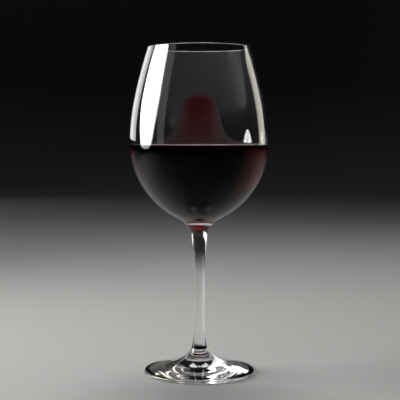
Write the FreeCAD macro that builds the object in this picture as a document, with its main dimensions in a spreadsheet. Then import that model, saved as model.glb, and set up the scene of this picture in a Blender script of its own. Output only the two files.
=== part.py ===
import FreeCAD, Part
import math
import os

import Sketcher

# A stemmed wine glass holding red wine. It stands on the plane z = 0 with its axis on +Z.
# Every piece is turned about that axis: its outline is drawn in the XZ plane of its own body,
# x being the radius, and revolved. Lengths are millimetres and angles are degrees.

# The driving dimensions: alias, value, meaning. Heights in the stem are above the foot's hub,
# and heights in the bowl and the wine are above the top of the stem.
DIMENSIONS = [
    ("foot_radius", 38.5, "outside of the foot"),
    ("foot_edge_curve", 1.3, "rounding of the foot's edge, half its thickness there"),
    ("foot_slope", 11.0, "fall of the foot's cone below the horizontal"),
    ("foot_hub_height", 17.0, "table to the seam between foot and stem"),
    ("hub_root_curve", 4.5, "tight curve where the hub leaves the stem"),
    ("hub_curve", 28.5, "wide curve from the hub into the cone"),
    ("hollow_radius", 34.5, "inside of the flat ring that the foot rests on"),
    ("hollow_rise", 1.6, "height of the hollow under the foot at the axis"),
    ("stem_length", 78.0, "seam to seam"),
    ("stem_radius", 3.75, "straight middle of the stem"),
    ("lower_seam_radius", 5.5, "stem where it joins the foot"),
    ("lower_flare", 14.0, "height over which the stem opens towards the foot"),
    ("upper_seam_radius", 5.3, "stem where it joins the bowl"),
    ("upper_flare", 26.0, "height over which the stem opens towards the bowl"),
    ("bowl_height", 131.5, "top of the stem to the rim"),
    ("bowl_radius", 48.4, "outside of the bowl at its widest"),
    ("widest_height", 64.0, "where the bowl is widest"),
    ("rim_radius", 35.8, "outside of the rim"),
    ("wall", 1.2, "thickness of the bowl's wall"),
    ("upper_side_curve", 300.0, "outside of the side, next to the rim"),
    ("side_curve", 160.0, "outside of the side, above the widest height"),
    ("shoulder_curve", 40.0, "outside of the side, just below the widest height"),
    ("belly_curve", 60.0, "outside of the belly"),
    ("floor_curve", 32.0, "floor inside the bowl"),
    ("floor_height", 11.0, "lowest point of that floor"),
    ("fill_height", 62.5, "surface of the wine"),
]

SHEET = "Dimensions"
ORIGIN = (-1, 1)        # a sketch's own origin, as (geometry, vertex)
UPRIGHT = -2            # a sketch's own vertical axis
START, END, CENTRE = 1, 2, 3
RAKE_LENGTH = 4.0       # length of the construction line that gives a seam its slope

BOWL_BASE = "Dimensions.foot_hub_height + Dimensions.stem_length"


def make_sheet(doc):
    """Write the driving dimensions into a spreadsheet."""
    sheet = doc.addObject("Spreadsheet::Sheet", SHEET)
    for row, (alias, value, meaning) in enumerate(DIMENSIONS, start=1):
        sheet.set(f"A{row}", alias)
        sheet.set(f"B{row}", str(value))
        sheet.set(f"C{row}", meaning)
        sheet.setAlias(f"B{row}", alias)
    doc.recompute()
    return sheet


def rake_expression(seam):
    """Slope of the stem's surface at a seam, from the vertical: twice the chord's angle."""
    widening = f"(Dimensions.{seam}_seam_radius - Dimensions.stem_radius)"
    return f"2 * atan({widening} / Dimensions.{seam}_flare)"


def rake_radians(size, seam):
    widening = getattr(size, f"{seam}_seam_radius") - size.stem_radius
    return 2 * math.atan(widening / getattr(size, f"{seam}_flare"))


def meeting_point(centre_a, radius_a, centre_b, radius_b):
    """The crossing of two circles that lies left of the line from centre_a to centre_b."""
    gap_x, gap_z = centre_b[0] - centre_a[0], centre_b[1] - centre_a[1]
    gap = math.hypot(gap_x, gap_z)
    along = (radius_a**2 - radius_b**2 + gap**2) / (2 * gap)
    aside = math.sqrt(radius_a**2 - along**2)
    return (
        centre_a[0] + (along * gap_x - aside * gap_z) / gap,
        centre_a[1] + (along * gap_z + aside * gap_x) / gap,
    )


def beyond(centre, through, radius):
    """The point at radius from centre, in the direction of another point."""
    reach = radius / math.hypot(through[0] - centre[0], through[1] - centre[1])
    return (
        centre[0] + (through[0] - centre[0]) * reach,
        centre[1] + (through[1] - centre[1]) * reach,
    )


class Outline:
    """A closed outline in a sketch, drawn edge after edge and then sized from the sheet."""

    def __init__(self, sketch, start):
        self.sketch = sketch
        self.start = self.here = start
        self.edges = []

    def join(self, edge, first, last, smooth):
        """Tie a new edge to the end of the one before it."""
        if self.edges:
            before, end_before = self.edges[-1][0], self.edges[-1][2]
            kind = "Tangent" if smooth else "Coincident"
            self.rule(kind, before, end_before, edge, first)
        self.edges.append((edge, first, last))
        return edge

    def line(self, end, smooth=False):
        shape = Part.LineSegment(vector(self.here), vector(end))
        self.here = end
        return self.join(self.sketch.addGeometry(shape), START, END, smooth)

    def arc(self, centre, end, turns_left=True, smooth=True):
        """An arc about centre, which turns left or right on its way to end."""
        angles = [math.atan2(p[1] - centre[1], p[0] - centre[0]) for p in (self.here, end)]
        radius = math.dist(centre, end)
        first, last = (START, END) if turns_left else (END, START)
        if not turns_left:
            angles.reverse()
        circle = Part.Circle(vector(centre), FreeCAD.Vector(0, 0, 1), radius)
        self.here = end
        edge = self.sketch.addGeometry(Part.ArcOfCircle(circle, *angles))
        return self.join(edge, first, last, smooth)

    def close(self):
        """Draw the last straight edge, back to the start."""
        edge = self.line(self.start)
        self.rule("Coincident", edge, END, self.edges[0][0], self.edges[0][1])
        return edge

    def rule(self, kind, *where):
        return self.sketch.addConstraint(Sketcher.Constraint(kind, *where))

    def size(self, kind, expression, *where):
        """A dimension that follows an expression; its first value is read off the drawing."""
        index = self.rule(kind, *where, self.measure(kind, where))
        self.sketch.setExpression(f"Constraints[{index}]", expression)

    def measure(self, kind, where):
        if kind == "Radius":
            return self.sketch.Geometry[where[0]].Radius
        if kind == "Angle":
            side = self.sketch.Geometry[where[0]]
            run = side.EndPoint - side.StartPoint
            return math.atan2(run.y, run.x)
        near, far = self.sketch.getPoint(*where[:2]), self.sketch.getPoint(*where[2:])
        return far.x - near.x if kind == "DistanceX" else far.y - near.y

    def radius_at(self, edge, vertex, expression):
        self.size("DistanceX", expression, *ORIGIN, edge, vertex)

    def height_at(self, edge, vertex, expression):
        self.size("DistanceY", expression, *ORIGIN, edge, vertex)

    def lead(self, arc, vertex, seam_point, angle, expression):
        """Start or end an arc on a seam along the stem's surface, shown by a construction line."""
        reach = (RAKE_LENGTH * math.cos(angle), RAKE_LENGTH * math.sin(angle))
        end = (seam_point[0] + reach[0], seam_point[1] + reach[1])
        shape = Part.LineSegment(vector(seam_point), vector(end))
        guide = self.sketch.addGeometry(shape, True)
        self.rule("Tangent", guide, START, arc, vertex)
        self.rule("Distance", guide, RAKE_LENGTH)
        self.size("Angle", expression, guide)


def vector(point):
    return FreeCAD.Vector(point[0], point[1], 0)


def new_piece(doc, name, base=None):
    """A body with an empty sketch in its XZ plane, standing base above the table."""
    body = doc.addObject("PartDesign::Body", name)
    body.Label = name
    if base:
        body.setExpression("Placement.Base.z", base)
    plane = next(f for f in body.Origin.OriginFeatures if f.Role == "XZ_Plane")
    sketch = body.newObject("Sketcher::SketchObject", f"{name}_outline")
    sketch.AttachmentSupport = (plane, "")
    sketch.MapMode = "FlatFace"
    doc.recompute()
    return body, sketch


def turn(body, sketch):
    """Revolve the outline about the body's axis."""
    turned = body.newObject("PartDesign::Revolution", f"{body.Name}_turned")
    turned.Profile = sketch
    turned.ReferenceAxis = (sketch, ["V_Axis"])
    turned.Angle = 360
    body.Tip = turned
    return body


def make_foot(doc, size):
    """The foot: a hub that spreads into a shallow cone, hollow below, on a flat ring."""
    body, sketch = new_piece(doc, "foot")
    slope = math.radians(size.foot_slope)
    rake = rake_radians(size, "lower")
    seam = (size.lower_seam_radius, size.foot_hub_height)
    root_centre = (
        seam[0] + size.hub_root_curve * math.cos(rake),
        seam[1] + size.hub_root_curve * math.sin(rake),
    )
    edge_centre = (size.foot_radius - size.foot_edge_curve, size.foot_edge_curve)
    cone_end = (
        edge_centre[0] + size.foot_edge_curve * math.sin(slope),
        edge_centre[1] + size.foot_edge_curve * math.cos(slope),
    )
    # The hub's centre is one hub_curve above the cone and touches the root curve from inside.
    offset = (root_centre[0] - cone_end[0]) * math.sin(slope)
    offset += (root_centre[1] - cone_end[1]) * math.cos(slope)
    rise = size.hub_curve - offset
    run = math.sqrt((size.hub_curve - size.hub_root_curve) ** 2 - rise**2)
    hub_centre = (
        root_centre[0] + rise * math.sin(slope) + run * math.cos(slope),
        root_centre[1] + rise * math.cos(slope) - run * math.sin(slope),
    )
    cone_start = (
        hub_centre[0] - size.hub_curve * math.sin(slope),
        hub_centre[1] - size.hub_curve * math.cos(slope),
    )
    hollow_curve = (size.hollow_radius**2 + size.hollow_rise**2) / (2 * size.hollow_rise)

    outline = Outline(sketch, (0, size.hollow_rise))
    axis = outline.line((0, seam[1]))
    top = outline.line(seam)
    root = outline.arc(root_centre, beyond(hub_centre, root_centre, size.hub_curve), smooth=False)
    hub = outline.arc(hub_centre, cone_start)
    cone = outline.line(cone_end, smooth=True)
    edge = outline.arc(edge_centre, (edge_centre[0], 0), turns_left=False)
    ring = outline.line((size.hollow_radius, 0), smooth=True)
    hollow = outline.arc((0, size.hollow_rise - hollow_curve), outline.start, smooth=False)
    outline.rule("Coincident", hollow, END, axis, START)

    fall = f"{rake_expression('lower')} - 90 deg"
    outline.lead(root, START, seam, rake - math.pi / 2, fall)
    outline.rule("PointOnObject", axis, START, UPRIGHT)
    outline.rule("PointOnObject", axis, END, UPRIGHT)
    outline.rule("PointOnObject", hollow, CENTRE, UPRIGHT)
    outline.rule("Horizontal", top)
    outline.rule("Horizontal", ring)
    outline.height_at(axis, START, "Dimensions.hollow_rise")
    outline.height_at(axis, END, "Dimensions.foot_hub_height")
    outline.radius_at(top, END, "Dimensions.lower_seam_radius")
    outline.size("Radius", "Dimensions.hub_root_curve", root)
    outline.size("Radius", "Dimensions.hub_curve", hub)
    outline.size("Angle", "-Dimensions.foot_slope", cone)
    outline.size("Radius", "Dimensions.foot_edge_curve", edge)
    outline.radius_at(edge, CENTRE, "Dimensions.foot_radius - Dimensions.foot_edge_curve")
    outline.height_at(edge, CENTRE, "Dimensions.foot_edge_curve")
    outline.radius_at(ring, END, "Dimensions.hollow_radius")
    return turn(body, sketch)


def make_stem(doc, size):
    """The stem: a straight middle that opens in a long curve at each end."""
    body, sketch = new_piece(doc, "stem", "Dimensions.foot_hub_height")
    neck_start = size.stem_length - size.upper_flare
    lower_centre = (size.stem_radius + flare_curve(size, "lower"), size.lower_flare)
    upper_centre = (size.stem_radius + flare_curve(size, "upper"), neck_start)

    outline = Outline(sketch, (0, 0))
    bottom = outline.line((size.lower_seam_radius, 0))
    lower = outline.arc(lower_centre, (size.stem_radius, size.lower_flare), False, smooth=False)
    middle = outline.line((size.stem_radius, neck_start), smooth=True)
    upper = outline.arc(upper_centre, (size.upper_seam_radius, size.stem_length), False)
    top = outline.line((0, size.stem_length))
    outline.close()

    outline.rule("Coincident", bottom, START, *ORIGIN)
    outline.rule("Horizontal", bottom)
    outline.rule("Vertical", middle)
    outline.rule("Horizontal", top)
    outline.rule("PointOnObject", top, END, UPRIGHT)
    outline.radius_at(bottom, END, "Dimensions.lower_seam_radius")
    outline.radius_at(middle, START, "Dimensions.stem_radius")
    outline.height_at(lower, CENTRE, "Dimensions.lower_flare")
    outline.height_at(upper, CENTRE, "Dimensions.stem_length - Dimensions.upper_flare")
    outline.radius_at(top, START, "Dimensions.upper_seam_radius")
    outline.height_at(top, START, "Dimensions.stem_length")
    return turn(body, sketch)


def flare_curve(size, seam):
    """Radius of the arc that leaves the stem's side and reaches a seam."""
    widening = getattr(size, f"{seam}_seam_radius") - size.stem_radius
    return (widening**2 + getattr(size, f"{seam}_flare") ** 2) / (2 * widening)


def cavity_centres(size):
    """Centres of the floor's, the belly's and the shoulder's arcs inside the bowl."""
    floor = (0, size.floor_height + size.floor_curve)
    shoulder = (size.bowl_radius - size.shoulder_curve, size.widest_height)
    belly_curve = size.belly_curve - size.wall
    to_shoulder = size.belly_curve - size.shoulder_curve
    belly = meeting_point(floor, belly_curve - size.floor_curve, shoulder, to_shoulder)
    return floor, belly, shoulder


def draw_cavity(outline, size, top):
    """Draw the wall inside the bowl from the floor's middle up to a point on the shoulder."""
    floor_centre, belly_centre, shoulder_centre = cavity_centres(size)
    belly_curve = size.belly_curve - size.wall
    floor = outline.arc(floor_centre, beyond(belly_centre, floor_centre, belly_curve), smooth=False)
    belly = outline.arc(belly_centre, beyond(belly_centre, shoulder_centre, belly_curve))
    shoulder = outline.arc(shoulder_centre, top)
    outline.rule("PointOnObject", floor, CENTRE, UPRIGHT)
    outline.rule("PointOnObject", floor, START, UPRIGHT)
    outline.height_at(floor, START, "Dimensions.floor_height")
    outline.size("Radius", "Dimensions.floor_curve", floor)
    outline.size("Radius", "Dimensions.belly_curve - Dimensions.wall", belly)
    outline.size("Radius", "Dimensions.shoulder_curve - Dimensions.wall", shoulder)
    outline.radius_at(shoulder, CENTRE, "Dimensions.bowl_radius - Dimensions.shoulder_curve")
    outline.height_at(shoulder, CENTRE, "Dimensions.widest_height")
    return floor, belly, shoulder


def make_bowl(doc, size):
    """The bowl: one wall thickness from the rim down to the belly, and thick glass below it."""
    body, sketch = new_piece(doc, "bowl", BOWL_BASE)
    rake = rake_radians(size, "upper")
    seam = (size.upper_seam_radius, 0)
    _, belly_centre, shoulder_centre = cavity_centres(size)
    widest = (size.bowl_radius, size.widest_height)
    side_centre = (size.bowl_radius - size.side_curve, size.widest_height)
    rim_centre = (size.rim_radius - size.wall / 2, size.bowl_height - size.wall / 2)
    upper_reach = size.upper_side_curve - size.wall / 2
    upper_step = size.upper_side_curve - size.side_curve
    upper_centre = meeting_point(side_centre, upper_step, rim_centre, upper_reach)

    # The neck's arc starts on the seam along the stem's slope and touches the belly.
    across = (math.cos(rake), -math.sin(rake))
    apart = (seam[0] - belly_centre[0], seam[1] - belly_centre[1])
    along = apart[0] * across[0] + apart[1] * across[1]
    neck_curve = (apart[0] ** 2 + apart[1] ** 2 - size.belly_curve**2) / (
        2 * (size.belly_curve - along)
    )
    neck_centre = (seam[0] + neck_curve * across[0], seam[1] + neck_curve * across[1])

    outline = Outline(sketch, (0, 0))
    axis = outline.line((0, size.floor_height))
    inner_widest = (size.bowl_radius - size.wall, size.widest_height)
    _, belly, shoulder = draw_cavity(outline, size, inner_widest)
    inner_reach = size.upper_side_curve - size.wall
    inner_side = outline.arc(side_centre, beyond(upper_centre, side_centre, inner_reach))
    inner_upper = outline.arc(upper_centre, beyond(upper_centre, rim_centre, inner_reach))
    outer_reach = size.upper_side_curve
    rim = outline.arc(rim_centre, beyond(upper_centre, rim_centre, outer_reach), False)
    upper = outline.arc(upper_centre, beyond(upper_centre, side_centre, outer_reach), False)
    side = outline.arc(side_centre, widest, False)
    outer_shoulder = outline.arc(
        shoulder_centre, beyond(belly_centre, shoulder_centre, size.belly_curve), False
    )
    outer_belly = outline.arc(
        belly_centre, beyond(belly_centre, neck_centre, size.belly_curve), False
    )
    neck = outline.arc(neck_centre, seam)
    bottom = outline.close()

    outline.rule("Coincident", axis, START, *ORIGIN)
    outline.rule("Horizontal", bottom)
    outline.radius_at(bottom, START, "Dimensions.upper_seam_radius")
    climb = f"90 deg - {rake_expression('upper')}"
    outline.lead(neck, END, seam, math.pi / 2 - rake, climb)
    for inner, outer in (
        (belly, outer_belly),
        (shoulder, outer_shoulder),
        (inner_side, side),
        (inner_upper, upper),
    ):
        outline.rule("Coincident", inner, CENTRE, outer, CENTRE)
    outline.size("Radius", "Dimensions.shoulder_curve", outer_shoulder)
    outline.height_at(side, START, "Dimensions.widest_height")
    outline.size("Radius", "Dimensions.side_curve", side)
    outline.size("Radius", "Dimensions.upper_side_curve", upper)
    outline.radius_at(rim, CENTRE, "Dimensions.rim_radius - Dimensions.wall / 2")
    outline.height_at(rim, CENTRE, "Dimensions.bowl_height - Dimensions.wall / 2")
    return turn(body, sketch)


def make_wine(doc, size):
    """The wine: it fills the bowl from the floor to a level surface."""
    body, sketch = new_piece(doc, "wine", BOWL_BASE)
    _, _, shoulder_centre = cavity_centres(size)
    shoulder_curve = size.shoulder_curve - size.wall
    depth = size.widest_height - size.fill_height
    brim = (
        shoulder_centre[0] + math.sqrt(shoulder_curve**2 - depth**2),
        size.fill_height,
    )
    outline = Outline(sketch, (0, size.floor_height))
    draw_cavity(outline, size, brim)
    surface = outline.line((0, size.fill_height))
    outline.close()
    outline.rule("Horizontal", surface)
    outline.rule("PointOnObject", surface, END, UPRIGHT)
    outline.height_at(surface, END, "Dimensions.fill_height")
    return turn(body, sketch)


def check(doc, bodies):
    """Stop if anything in the document failed, or an outline can still move."""
    failed = [o.Label for o in doc.Objects if {"Invalid", "Error"} & set(o.State)]
    failed += [b.Label for b in bodies if b.Shape.isNull() or not b.Shape.isValid()]
    failed += [b.Label for b in bodies if len(b.Shape.Solids) != 1]
    sketches = [o for o in doc.Objects if o.TypeId == "Sketcher::SketchObject"]
    failed += [s.Label for s in sketches if not s.FullyConstrained]
    if failed:
        raise SystemExit(f"failed: {sorted(set(failed))}")


def main():
    doc = FreeCAD.newDocument("wine_glass")
    size = make_sheet(doc)
    bodies = [make(doc, size) for make in (make_foot, make_stem, make_bowl, make_wine)]
    doc.recompute()
    check(doc, bodies)

    os.makedirs("parts", exist_ok=True)
    for body in bodies:
        body.Shape.exportStep(f"parts/{body.Label}.step")
        box = body.Shape.optimalBoundingBox()
        reach = f"z {box.ZMin:.2f} to {box.ZMax:.2f}, radius {box.XMax:.2f}"
        print(f"{body.Label}: {reach}, {body.Shape.Volume / 1000:.2f} cm3")


main()
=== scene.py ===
import math

import bpy
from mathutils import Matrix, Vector


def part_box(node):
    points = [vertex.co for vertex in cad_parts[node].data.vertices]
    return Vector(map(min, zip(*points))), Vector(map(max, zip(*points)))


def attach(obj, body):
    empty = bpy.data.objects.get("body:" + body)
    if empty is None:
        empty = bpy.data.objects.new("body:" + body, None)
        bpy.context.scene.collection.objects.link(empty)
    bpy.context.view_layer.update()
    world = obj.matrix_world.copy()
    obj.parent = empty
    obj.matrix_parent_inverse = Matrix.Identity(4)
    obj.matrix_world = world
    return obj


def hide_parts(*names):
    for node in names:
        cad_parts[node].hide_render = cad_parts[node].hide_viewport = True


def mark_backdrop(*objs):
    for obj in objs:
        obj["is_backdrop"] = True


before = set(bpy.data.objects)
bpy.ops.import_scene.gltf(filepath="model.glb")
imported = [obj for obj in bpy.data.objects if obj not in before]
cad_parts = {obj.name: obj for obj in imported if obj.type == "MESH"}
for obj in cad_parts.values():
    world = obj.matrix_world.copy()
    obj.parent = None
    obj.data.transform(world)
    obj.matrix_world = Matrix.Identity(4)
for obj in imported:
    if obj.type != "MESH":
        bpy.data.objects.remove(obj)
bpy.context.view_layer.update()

# The wine glass is four turned pieces. Each is a lathed mesh finer than the CAD solid that it
# stands for, drawn from the same arcs. Lengths are metres, and an outline point is (radius, z).

# ---------------------------------------------------------------- sizes

BODY = "root"
HUB_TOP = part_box("foot")[1].z
STEM_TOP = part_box("stem")[1].z
RIM_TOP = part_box("bowl")[1].z
WINE_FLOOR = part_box("wine")[0].z
WINE_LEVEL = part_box("wine")[1].z

# These are the sizes of the CAD model, in metres.
FOOT_RADIUS = 0.0385
FOOT_EDGE_CURVE = 0.0013
FOOT_SLOPE = math.radians(11)
HUB_ROOT_CURVE = 0.0045
HUB_CURVE = 0.0285
HOLLOW_RADIUS = 0.0345
HOLLOW_RISE = 0.0016
HOLLOW_LIP = 0.0006             # rounding of the hollow's edge, which the CAD model leaves out
STEM_RADIUS = 0.00375
LOWER_SEAM_RADIUS = 0.0055
LOWER_FLARE = 0.014             # height over which the stem widens to the foot
UPPER_SEAM_RADIUS = 0.0053
UPPER_FLARE = 0.026             # height over which the stem widens to the bowl
BOWL_RADIUS = 0.0484
WIDEST_HEIGHT = 0.064           # of the bowl's widest ring above its seam
WIDEST = STEM_TOP + WIDEST_HEIGHT
RIM_RADIUS = 0.0358
WALL = 0.0012
UPPER_SIDE_CURVE = 0.3
SIDE_CURVE = 0.16
SHOULDER_CURVE = 0.04
BELLY_CURVE = 0.06
FLOOR_CURVE = 0.032

WET = 0.00005                   # how far the wine reaches into the glass, so no air lies between
MENISCUS_RISE = 0.0019          # how far the wine climbs the wall
MENISCUS_FADE = 0.0015          # how fast the climb dies out away from the wall
MENISCUS_WIDTH = 0.009
MENISCUS_STEPS = 36
MENISCUS_END = 0.002            # one longer step from the climb to the level surface

AROUND = 192                    # segments of a lathed piece
ARC_STEP = math.radians(1.2)    # largest turn between two outline points
LINE_STEP = 0.0012              # largest length between two outline points
ON_AXIS = 1e-9                  # a smaller radius counts as the axis


# ---------------------------------------------------------------- outlines

def meeting_point(centre_a, radius_a, centre_b, radius_b):
    """The crossing of two circles that lies left of the line from centre_a to centre_b."""
    gap_x, gap_z = centre_b[0] - centre_a[0], centre_b[1] - centre_a[1]
    gap = math.hypot(gap_x, gap_z)
    along = (radius_a**2 - radius_b**2 + gap**2) / (2 * gap)
    aside = math.sqrt(radius_a**2 - along**2)
    return (
        centre_a[0] + (along * gap_x - aside * gap_z) / gap,
        centre_a[1] + (along * gap_z + aside * gap_x) / gap,
    )


def beyond(centre, through, radius):
    """The point at radius from centre, in the direction of another point."""
    reach = radius / math.dist(centre, through)
    return (
        centre[0] + (through[0] - centre[0]) * reach,
        centre[1] + (through[1] - centre[1]) * reach,
    )


class Outline:
    """Points of a turned outline, with a zone name for each stretch between two of them."""

    def __init__(self, start):
        self.points = [start]
        self.zones = []

    def add(self, points, zone):
        self.points += points
        self.zones += [zone] * len(points)

    def line(self, end, zone="side"):
        start = self.points[-1]
        steps = max(1, math.ceil(math.dist(start, end) / LINE_STEP))
        ends = [
            (
                start[0] + (end[0] - start[0]) * i / steps,
                start[1] + (end[1] - start[1]) * i / steps,
            )
            for i in range(1, steps + 1)
        ]
        self.add(ends, zone)

    def arc(self, centre, end, turns_left=True, zone="side"):
        start = self.points[-1]
        first, last = (math.atan2(p[1] - centre[1], p[0] - centre[0]) for p in (start, end))
        turn = (last - first) % math.tau if turns_left else -((first - last) % math.tau)
        radius = math.dist(centre, start)
        longest = min(ARC_STEP, LINE_STEP / radius)
        steps = max(2, math.ceil(abs(turn) / longest))
        angles = [first + turn * i / steps for i in range(1, steps)]
        points = [
            (centre[0] + radius * math.cos(a), centre[1] + radius * math.sin(a)) for a in angles
        ]
        self.add(points + [end], zone)


def flare_slope(widening, height):
    """Slope of the stem's surface at a seam, from the vertical."""
    return 2 * math.atan(widening / height)


def flare_curve(widening, height):
    """Radius of the arc that leaves the stem's side and reaches a seam."""
    return (widening**2 + height**2) / (2 * widening)


def foot_outline():
    """Out along the hollow and the flat ring, round the edge and up the cone and hub."""
    slope = flare_slope(LOWER_SEAM_RADIUS - STEM_RADIUS, LOWER_FLARE)
    seam = (LOWER_SEAM_RADIUS, HUB_TOP)
    root = (seam[0] + HUB_ROOT_CURVE * math.cos(slope), seam[1] + HUB_ROOT_CURVE * math.sin(slope))
    edge = (FOOT_RADIUS - FOOT_EDGE_CURVE, FOOT_EDGE_CURVE)
    normal = (math.sin(FOOT_SLOPE), math.cos(FOOT_SLOPE))
    cone_end = (edge[0] + FOOT_EDGE_CURVE * normal[0], edge[1] + FOOT_EDGE_CURVE * normal[1])
    offset = (root[0] - cone_end[0]) * normal[0] + (root[1] - cone_end[1]) * normal[1]
    rise = HUB_CURVE - offset
    run = math.sqrt((HUB_CURVE - HUB_ROOT_CURVE) ** 2 - rise**2)
    hub = (
        root[0] + rise * normal[0] + run * normal[1],
        root[1] + rise * normal[1] - run * normal[0],
    )
    cone_start = (hub[0] - HUB_CURVE * normal[0], hub[1] - HUB_CURVE * normal[1])
    hollow_curve = (HOLLOW_RADIUS**2 + HOLLOW_RISE**2) / (2 * HOLLOW_RISE)
    hollow = (0, HOLLOW_RISE - hollow_curve)

    # The lip is a small arc between the flat ring and the dome of the hollow.
    lip_x = math.sqrt((hollow_curve + HOLLOW_LIP) ** 2 - (HOLLOW_LIP - hollow[1]) ** 2)
    lip = (lip_x, HOLLOW_LIP)

    outline = Outline((0, HOLLOW_RISE))
    outline.arc(hollow, beyond(hollow, lip, hollow_curve), turns_left=False)
    outline.arc(lip, (lip[0], 0))
    outline.line((edge[0], 0))
    outline.arc(edge, cone_end)
    outline.line(cone_start)
    outline.arc(hub, beyond(hub, root, HUB_CURVE), turns_left=False)
    outline.arc(root, seam, turns_left=False)
    outline.line((0, HUB_TOP), "seam")
    return outline


def stem_outline():
    """Out along the lower seam, up the side and back along the upper seam."""
    upper, lower = UPPER_SEAM_RADIUS - STEM_RADIUS, LOWER_SEAM_RADIUS - STEM_RADIUS
    neck, ankle = STEM_TOP - UPPER_FLARE, HUB_TOP + LOWER_FLARE
    outline = Outline((0, HUB_TOP))
    outline.line((LOWER_SEAM_RADIUS, HUB_TOP), "seam")
    outline.arc(
        (STEM_RADIUS + flare_curve(lower, LOWER_FLARE), ankle), (STEM_RADIUS, ankle), False
    )
    outline.line((STEM_RADIUS, neck))
    outline.arc(
        (STEM_RADIUS + flare_curve(upper, UPPER_FLARE), neck), (UPPER_SEAM_RADIUS, STEM_TOP), False
    )
    outline.line((0, STEM_TOP), "seam")
    return outline


def cavity_centres():
    """Centres of the floor's, the belly's and the shoulder's arcs inside the bowl."""
    floor = (0, WINE_FLOOR + FLOOR_CURVE)
    shoulder = (BOWL_RADIUS - SHOULDER_CURVE, WIDEST)
    belly_curve = BELLY_CURVE - WALL
    belly = meeting_point(
        floor, belly_curve - FLOOR_CURVE, shoulder, BELLY_CURVE - SHOULDER_CURVE
    )
    return floor, belly, shoulder


def wall_point(centre, radius, z):
    """The point of an arc at a height, on the side away from the axis."""
    return (centre[0] + math.sqrt(radius**2 - (z - centre[1]) ** 2), z)


def bowl_outline():
    """Out along the seam, up the outside, over the rim and down the inside to the floor.

    Wine lies behind the outer zone "belly", and it touches the inner zone "wetted".
    """
    floor, belly, shoulder = cavity_centres()
    side = (BOWL_RADIUS - SIDE_CURVE, WIDEST)
    rim = (RIM_RADIUS - WALL / 2, RIM_TOP - WALL / 2)
    upper = meeting_point(
        side, UPPER_SIDE_CURVE - SIDE_CURVE, rim, UPPER_SIDE_CURVE - WALL / 2
    )
    slope = flare_slope(UPPER_SEAM_RADIUS - STEM_RADIUS, UPPER_FLARE)
    seam = (UPPER_SEAM_RADIUS, STEM_TOP)
    across = (math.cos(slope), -math.sin(slope))
    apart = (seam[0] - belly[0], seam[1] - belly[1])
    along = apart[0] * across[0] + apart[1] * across[1]
    neck_curve = (apart[0] ** 2 + apart[1] ** 2 - BELLY_CURVE**2) / (2 * (BELLY_CURVE - along))
    neck = (seam[0] + neck_curve * across[0], seam[1] + neck_curve * across[1])
    inner_upper = UPPER_SIDE_CURVE - WALL
    inner_belly = BELLY_CURVE - WALL
    tide = wall_point(side, SIDE_CURVE - WALL, WINE_LEVEL + MENISCUS_RISE)
    outer_tide = wall_point(side, SIDE_CURVE, WINE_LEVEL + MENISCUS_RISE)

    outline = Outline((0, STEM_TOP))
    outline.line(seam, "seam")
    outline.arc(neck, beyond(belly, neck, BELLY_CURVE), turns_left=False)
    outline.arc(belly, beyond(belly, shoulder, BELLY_CURVE), zone="belly")
    outline.arc(shoulder, (BOWL_RADIUS, WIDEST), zone="belly")
    outline.arc(side, outer_tide, zone="belly")
    outline.arc(side, beyond(upper, side, UPPER_SIDE_CURVE))
    outline.arc(upper, beyond(upper, rim, UPPER_SIDE_CURVE))
    outline.arc(rim, beyond(upper, rim, inner_upper))
    outline.arc(upper, beyond(upper, side, inner_upper), turns_left=False)
    outline.arc(side, tide, turns_left=False)
    outline.arc(side, (BOWL_RADIUS - WALL, WIDEST), False, "wetted")
    outline.arc(shoulder, beyond(belly, shoulder, inner_belly), False, "wetted")
    outline.arc(belly, beyond(belly, floor, inner_belly), False, "wetted")
    outline.arc(floor, (0, WINE_FLOOR), False, "wetted")
    return outline


def wine_outline():
    """Up the wall from the floor to the meniscus, and in over the level surface."""
    floor, belly, shoulder = cavity_centres()
    side = (BOWL_RADIUS - SIDE_CURVE, WIDEST)
    belly_curve = BELLY_CURVE - WALL + WET
    tide = wall_point(side, SIDE_CURVE - WALL + WET, WINE_LEVEL + MENISCUS_RISE)
    outline = Outline((0, WINE_FLOOR - WET))
    outline.arc(floor, beyond(belly, floor, belly_curve))
    outline.arc(belly, beyond(belly, shoulder, belly_curve))
    outline.arc(shoulder, (BOWL_RADIUS - WALL + WET, WIDEST))
    outline.arc(side, tide)
    for i in range(1, MENISCUS_STEPS + 1):
        inward = MENISCUS_WIDTH * (i / MENISCUS_STEPS) ** 2
        climb = MENISCUS_RISE * math.exp(-inward / MENISCUS_FADE)
        outline.add([(tide[0] - inward, WINE_LEVEL + climb)], "side")
    outline.add([(tide[0] - MENISCUS_WIDTH - MENISCUS_END, WINE_LEVEL)], "side")
    outline.line((0, WINE_LEVEL))
    return outline


# ---------------------------------------------------------------- meshes

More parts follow.
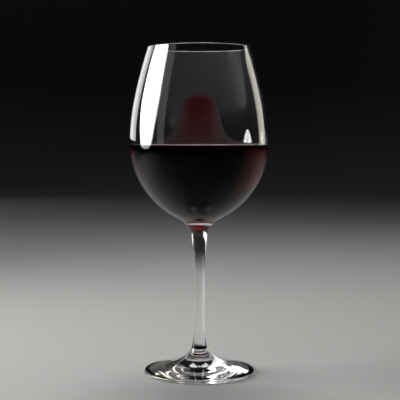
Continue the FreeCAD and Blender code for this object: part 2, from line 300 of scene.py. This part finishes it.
def lathe(name, outline, slots):
    """Turn an outline about Z. slots gives each zone's material; the seam zone meets the others at
    sharp edges.
    """
    points = outline.points
    vertices, rings = [], []
    for radius, z in points:
        if radius < ON_AXIS:
            rings.append([len(vertices)] * AROUND)
            vertices.append((0, 0, z))
        else:
            rings.append(list(range(len(vertices), len(vertices) + AROUND)))
            for i in range(AROUND):
                angle = math.tau * i / AROUND
                vertices.append((radius * math.cos(angle), radius * math.sin(angle), z))
    names = list(dict.fromkeys(outline.zones))
    faces, face_zones = [], []
    for lower, upper, zone in zip(rings, rings[1:], outline.zones):
        for i in range(AROUND):
            j = (i + 1) % AROUND
            corners = [lower[i], lower[j], upper[j], upper[i]]
            faces.append(list(dict.fromkeys(corners)))
            face_zones.append(names.index(zone))
    mesh = bpy.data.meshes.new(name)
    mesh.from_pydata(vertices, [], faces)
    for zone in names:
        mesh.materials.append(slots[zone])
    mesh.polygons.foreach_set("material_index", face_zones)
    mesh.polygons.foreach_set("use_smooth", [True] * len(faces))
    seams = {
        frozenset(ring)
        for ring, before, after in zip(rings[1:], outline.zones, outline.zones[1:])
        if (before == "seam") != (after == "seam")
    }
    for edge in mesh.edges:
        if any(set(edge.vertices) <= ring for ring in seams):
            edge.use_edge_sharp = True
    mesh.update()
    piece = bpy.data.objects.new(name, mesh)
    bpy.context.scene.collection.objects.link(piece)
    return piece


# ---------------------------------------------------------------- materials

def new_material(name):
    material = bpy.data.materials.new(name)
    material.use_nodes = True
    nodes, links = material.node_tree.nodes, material.node_tree.links
    return material, nodes, links, nodes["Principled BSDF"]


GLASS_IOR = 1.5
WINE_IOR = 1.34
GLASS_WAVES = 30                # noise scale, per metre
GLASS_WAVE_DEPTH = 0.00006
WINE_WAVES = 14
WINE_WAVE_DEPTH = 0.00003
BELLY_GLOSS = 0.05              # keeps the pale floor's mirror image off the dark wine
WETTED_GLOSS = 0.04             # glass and wine are nearly alike to light, so they mirror little
WINE_GLOSS = 0.1
WINE_COLOR = (0.933, 0.0, 0.03)
WINE_DENSITY = 900


def waves(nodes, links, shader, scale, depth):
    """Faint waves of a surface that is or was liquid, as bump in object space."""
    place = nodes.new("ShaderNodeTexCoord")
    noise = nodes.new("ShaderNodeTexNoise")
    noise.inputs["Scale"].default_value = scale
    noise.inputs["Detail"].default_value = 1.0
    bump = nodes.new("ShaderNodeBump")
    bump.inputs["Strength"].default_value = 1.0
    bump.inputs["Distance"].default_value = depth
    links.new(place.outputs["Object"], noise.inputs["Vector"])
    links.new(noise.outputs["Fac"], bump.inputs["Height"])
    links.new(bump.outputs["Normal"], shader.inputs["Normal"])


def clear_material(name, ior, gloss=1.0):
    """A smooth clear material. gloss is its share of real mirror strength, seen straight on."""
    material, nodes, links, shader = new_material(name)
    shader.inputs["Base Color"].default_value = (1, 1, 1, 1)
    shader.inputs["Roughness"].default_value = 0.0
    shader.inputs["IOR"].default_value = ior
    shader.inputs["Transmission Weight"].default_value = 1.0
    shader.inputs["Specular Tint"].default_value = (gloss, gloss, gloss, 1)
    return material, nodes, links, shader


def clear_glass(name, gloss=1.0):
    material, nodes, links, shader = clear_material(name, GLASS_IOR, gloss)
    waves(nodes, links, shader, GLASS_WAVES, GLASS_WAVE_DEPTH)
    return material


def fused_seam():
    """Glass fused to glass, inside the piece: light goes straight on."""
    return clear_material("fused_seam", 1.0)[0]


def red_wine():
    """Wine. It takes green and blue out of light within a few millimetres, and red slowly."""
    material, nodes, links, shader = clear_material("red_wine", WINE_IOR, WINE_GLOSS)
    absorb = nodes.new("ShaderNodeVolumeAbsorption")
    absorb.inputs["Color"].default_value = (*WINE_COLOR, 1)
    absorb.inputs["Density"].default_value = WINE_DENSITY
    links.new(absorb.outputs["Volume"], nodes["Material Output"].inputs["Volume"])
    waves(nodes, links, shader, WINE_WAVES, WINE_WAVE_DEPTH)
    return material


# ---------------------------------------------------------------- stage, lights, camera

# The floor's paint runs from pale round the glass to dark further out. It is a grey paint with a
# painted pool of light and painted shade beyond it, in place of light that falls off.
PAINTED_POOL_PAINT = (0.29, 0.286, 0.278)
PAINTED_SHADE_PAINT = (0.13, 0.13, 0.135)
PAINTED_POOL_RADIUS = 0.2
PAINTED_SHADE_RADIUS = 1.6
PAINT_ROUGHNESS = 0.6
PAINT_GLOSS = 0.2
FLOOR_RADIUS = 2.2
COVE_CURVE = 1.2
COVE_HEIGHT = 3.2
COVE_STEPS = 24


def painted_pool_stage_paint():
    """Grey floor paint, pale by the glass and darker away from it. This is a painted pool of light
    round the glass that fades into painted shade on the far floor and wall.
    """
    material, nodes, links, shader = new_material("stage_paint_painted_pool")
    shader.inputs["Roughness"].default_value = PAINT_ROUGHNESS
    shader.inputs["Specular IOR Level"].default_value = PAINT_GLOSS
    place = nodes.new("ShaderNodeTexCoord")
    distance = nodes.new("ShaderNodeVectorMath")
    distance.operation = "LENGTH"
    # painted falloff: with distance from the glass, the floor turns from the painted pool of light
    # to painted shade
    painted_falloff = nodes.new("ShaderNodeMapRange")
    painted_falloff.interpolation_type = "SMOOTHSTEP"
    painted_falloff.inputs["From Min"].default_value = PAINTED_POOL_RADIUS
    painted_falloff.inputs["From Max"].default_value = PAINTED_SHADE_RADIUS
    mix = nodes.new("ShaderNodeMix")
    mix.data_type = "RGBA"
    mix.inputs["A"].default_value = (*PAINTED_POOL_PAINT, 1)
    mix.inputs["B"].default_value = (*PAINTED_SHADE_PAINT, 1)
    links.new(place.outputs["Object"], distance.inputs[0])
    links.new(distance.outputs["Value"], painted_falloff.inputs["Value"])
    links.new(painted_falloff.outputs["Result"], mix.inputs["Factor"])
    links.new(mix.outputs["Result"], shader.inputs["Base Color"])
    return material


def cove():
    """A round studio floor that curves up into a wall on every side."""
    centre = (FLOOR_RADIUS, COVE_CURVE)
    outline = Outline((0, 0))
    outline.add([(FLOOR_RADIUS, 0)], "side")
    for i in range(1, COVE_STEPS + 1):
        angle = math.pi / 2 * i / COVE_STEPS
        point = (
            centre[0] + COVE_CURVE * math.sin(angle),
            centre[1] - COVE_CURVE * math.cos(angle),
        )
        outline.add([point], "side")
    outline.add([(FLOOR_RADIUS + COVE_CURVE, COVE_HEIGHT)], "side")
    piece = lathe("studio_floor", outline, {"side": painted_pool_stage_paint()})
    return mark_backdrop(piece)


def around(azimuth, distance, z):
    """A place by its azimuth from the camera's side of the glass, clockwise from above."""
    angle = math.radians(azimuth)
    return Vector((distance * math.sin(angle), -distance * math.cos(angle), z))


WHITE = (1.0, 1.0, 1.0)
WARM = (1.0, 0.94, 0.8)
OPEN = math.pi
GRID = math.radians(100)        # spread of a softbox with a grid, which spares the floor beside it
# name, azimuth, distance, height, (width, height) of the panel, radiance, colour, shape, spread
PANELS = [
    ("left_softbox", -96, 0.79, 0.455, (0.64, 0.79), 4.4, WHITE, "ELLIPSE", GRID),
    ("left_rim", -139, 2.0, 0.62, (0.8, 0.9), 1.6, WHITE, "RECTANGLE", OPEN),
    ("back_rim", -155.5, 2.0, 0.62, (0.35, 0.9), 0.8, WHITE, "RECTANGLE", OPEN),
    ("right_strip", 124, 1.4, 0.45, (0.5, 0.6), 1.9, WARM, "RECTANGLE", OPEN),
    ("top_softbox", 180, 0.49, 1.375, (0.7, 0.7), 10, WHITE, "RECTANGLE", OPEN),
    ("dim_card", -65, 0.9, 0.53, (0.24, 0.8), 0.5, WHITE, "RECTANGLE", OPEN),
]
LIT_HEIGHT = 0.17               # the lights face the axis at this height
WORLD_COLOR = (0.9, 0.93, 1)
WORLD_STRENGTH = 0.03


def area_light(name, place, size, radiance, color, shape, spread):
    light = bpy.data.lights.new(name, "AREA")
    light.shape = shape
    light.size, light.size_y = size
    area = size[0] * size[1] * (math.pi / 4 if shape == "ELLIPSE" else 1)
    light.energy = radiance * math.pi * area
    light.color = color
    light.spread = spread
    lamp = bpy.data.objects.new(name, light)
    lamp.location = place
    facing = Vector((0, 0, LIT_HEIGHT)) - place
    lamp.rotation_euler = facing.to_track_quat("-Z", "Y").to_euler()
    lamp.visible_camera = True      # what shows through the glass also shows beside it
    bpy.context.scene.collection.objects.link(lamp)


LENS = 91.1
SENSOR = 36.0
CLIP_START = 0.01
CAMERA_DISTANCE = 0.703
CAMERA_HEIGHT = 0.1647
CAMERA_TILT = math.radians(3.56)
CAMERA_PAN = math.radians(0.04)


def add_camera():
    data = bpy.data.cameras.new("camera")
    data.lens = LENS
    data.sensor_width = SENSOR
    data.clip_start = CLIP_START
    camera = bpy.data.objects.new("camera", data)
    camera.location = (0, -CAMERA_DISTANCE, CAMERA_HEIGHT)
    camera.rotation_euler = (math.pi / 2 - CAMERA_TILT, 0, -CAMERA_PAN)
    bpy.context.scene.collection.objects.link(camera)
    bpy.context.scene.camera = camera


def add_lights():
    for name, azimuth, distance, height, *panel in PANELS:
        area_light(name, around(azimuth, distance, height), *panel)
    world = bpy.data.worlds.new("studio")
    world.use_nodes = True
    background = world.node_tree.nodes["Background"]
    background.inputs["Color"].default_value = (*WORLD_COLOR, 1)
    background.inputs["Strength"].default_value = WORLD_STRENGTH
    bpy.context.scene.world = world


# ---------------------------------------------------------------- the whole

def build():
    slots = {
        "side": clear_glass("clear_glass"),
        "seam": fused_seam(),
        "belly": clear_glass("belly_glass", BELLY_GLOSS),
        "wetted": clear_glass("wetted_glass", WETTED_GLOSS),
    }
    pieces = {
        "foot": lathe("glass_foot", foot_outline(), slots),
        "stem": lathe("glass_stem", stem_outline(), slots),
        "bowl": lathe("glass_bowl", bowl_outline(), slots),
        "wine": lathe("wine_pour", wine_outline(), {"side": red_wine()}),
    }
    for node, piece in pieces.items():
        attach(piece, BODY)
        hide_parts(node)


build()
cove()
add_lights()
add_camera()

BOUNCES = 32                    # light turns many times inside the foot and the stem

scene = bpy.context.scene
scene.view_settings.view_transform = "Standard"
scene.cycles.max_bounces = BOUNCES
scene.cycles.transmission_bounces = BOUNCES
scene.cycles.glossy_bounces = BOUNCES
scene.cycles.transparent_max_bounces = BOUNCES
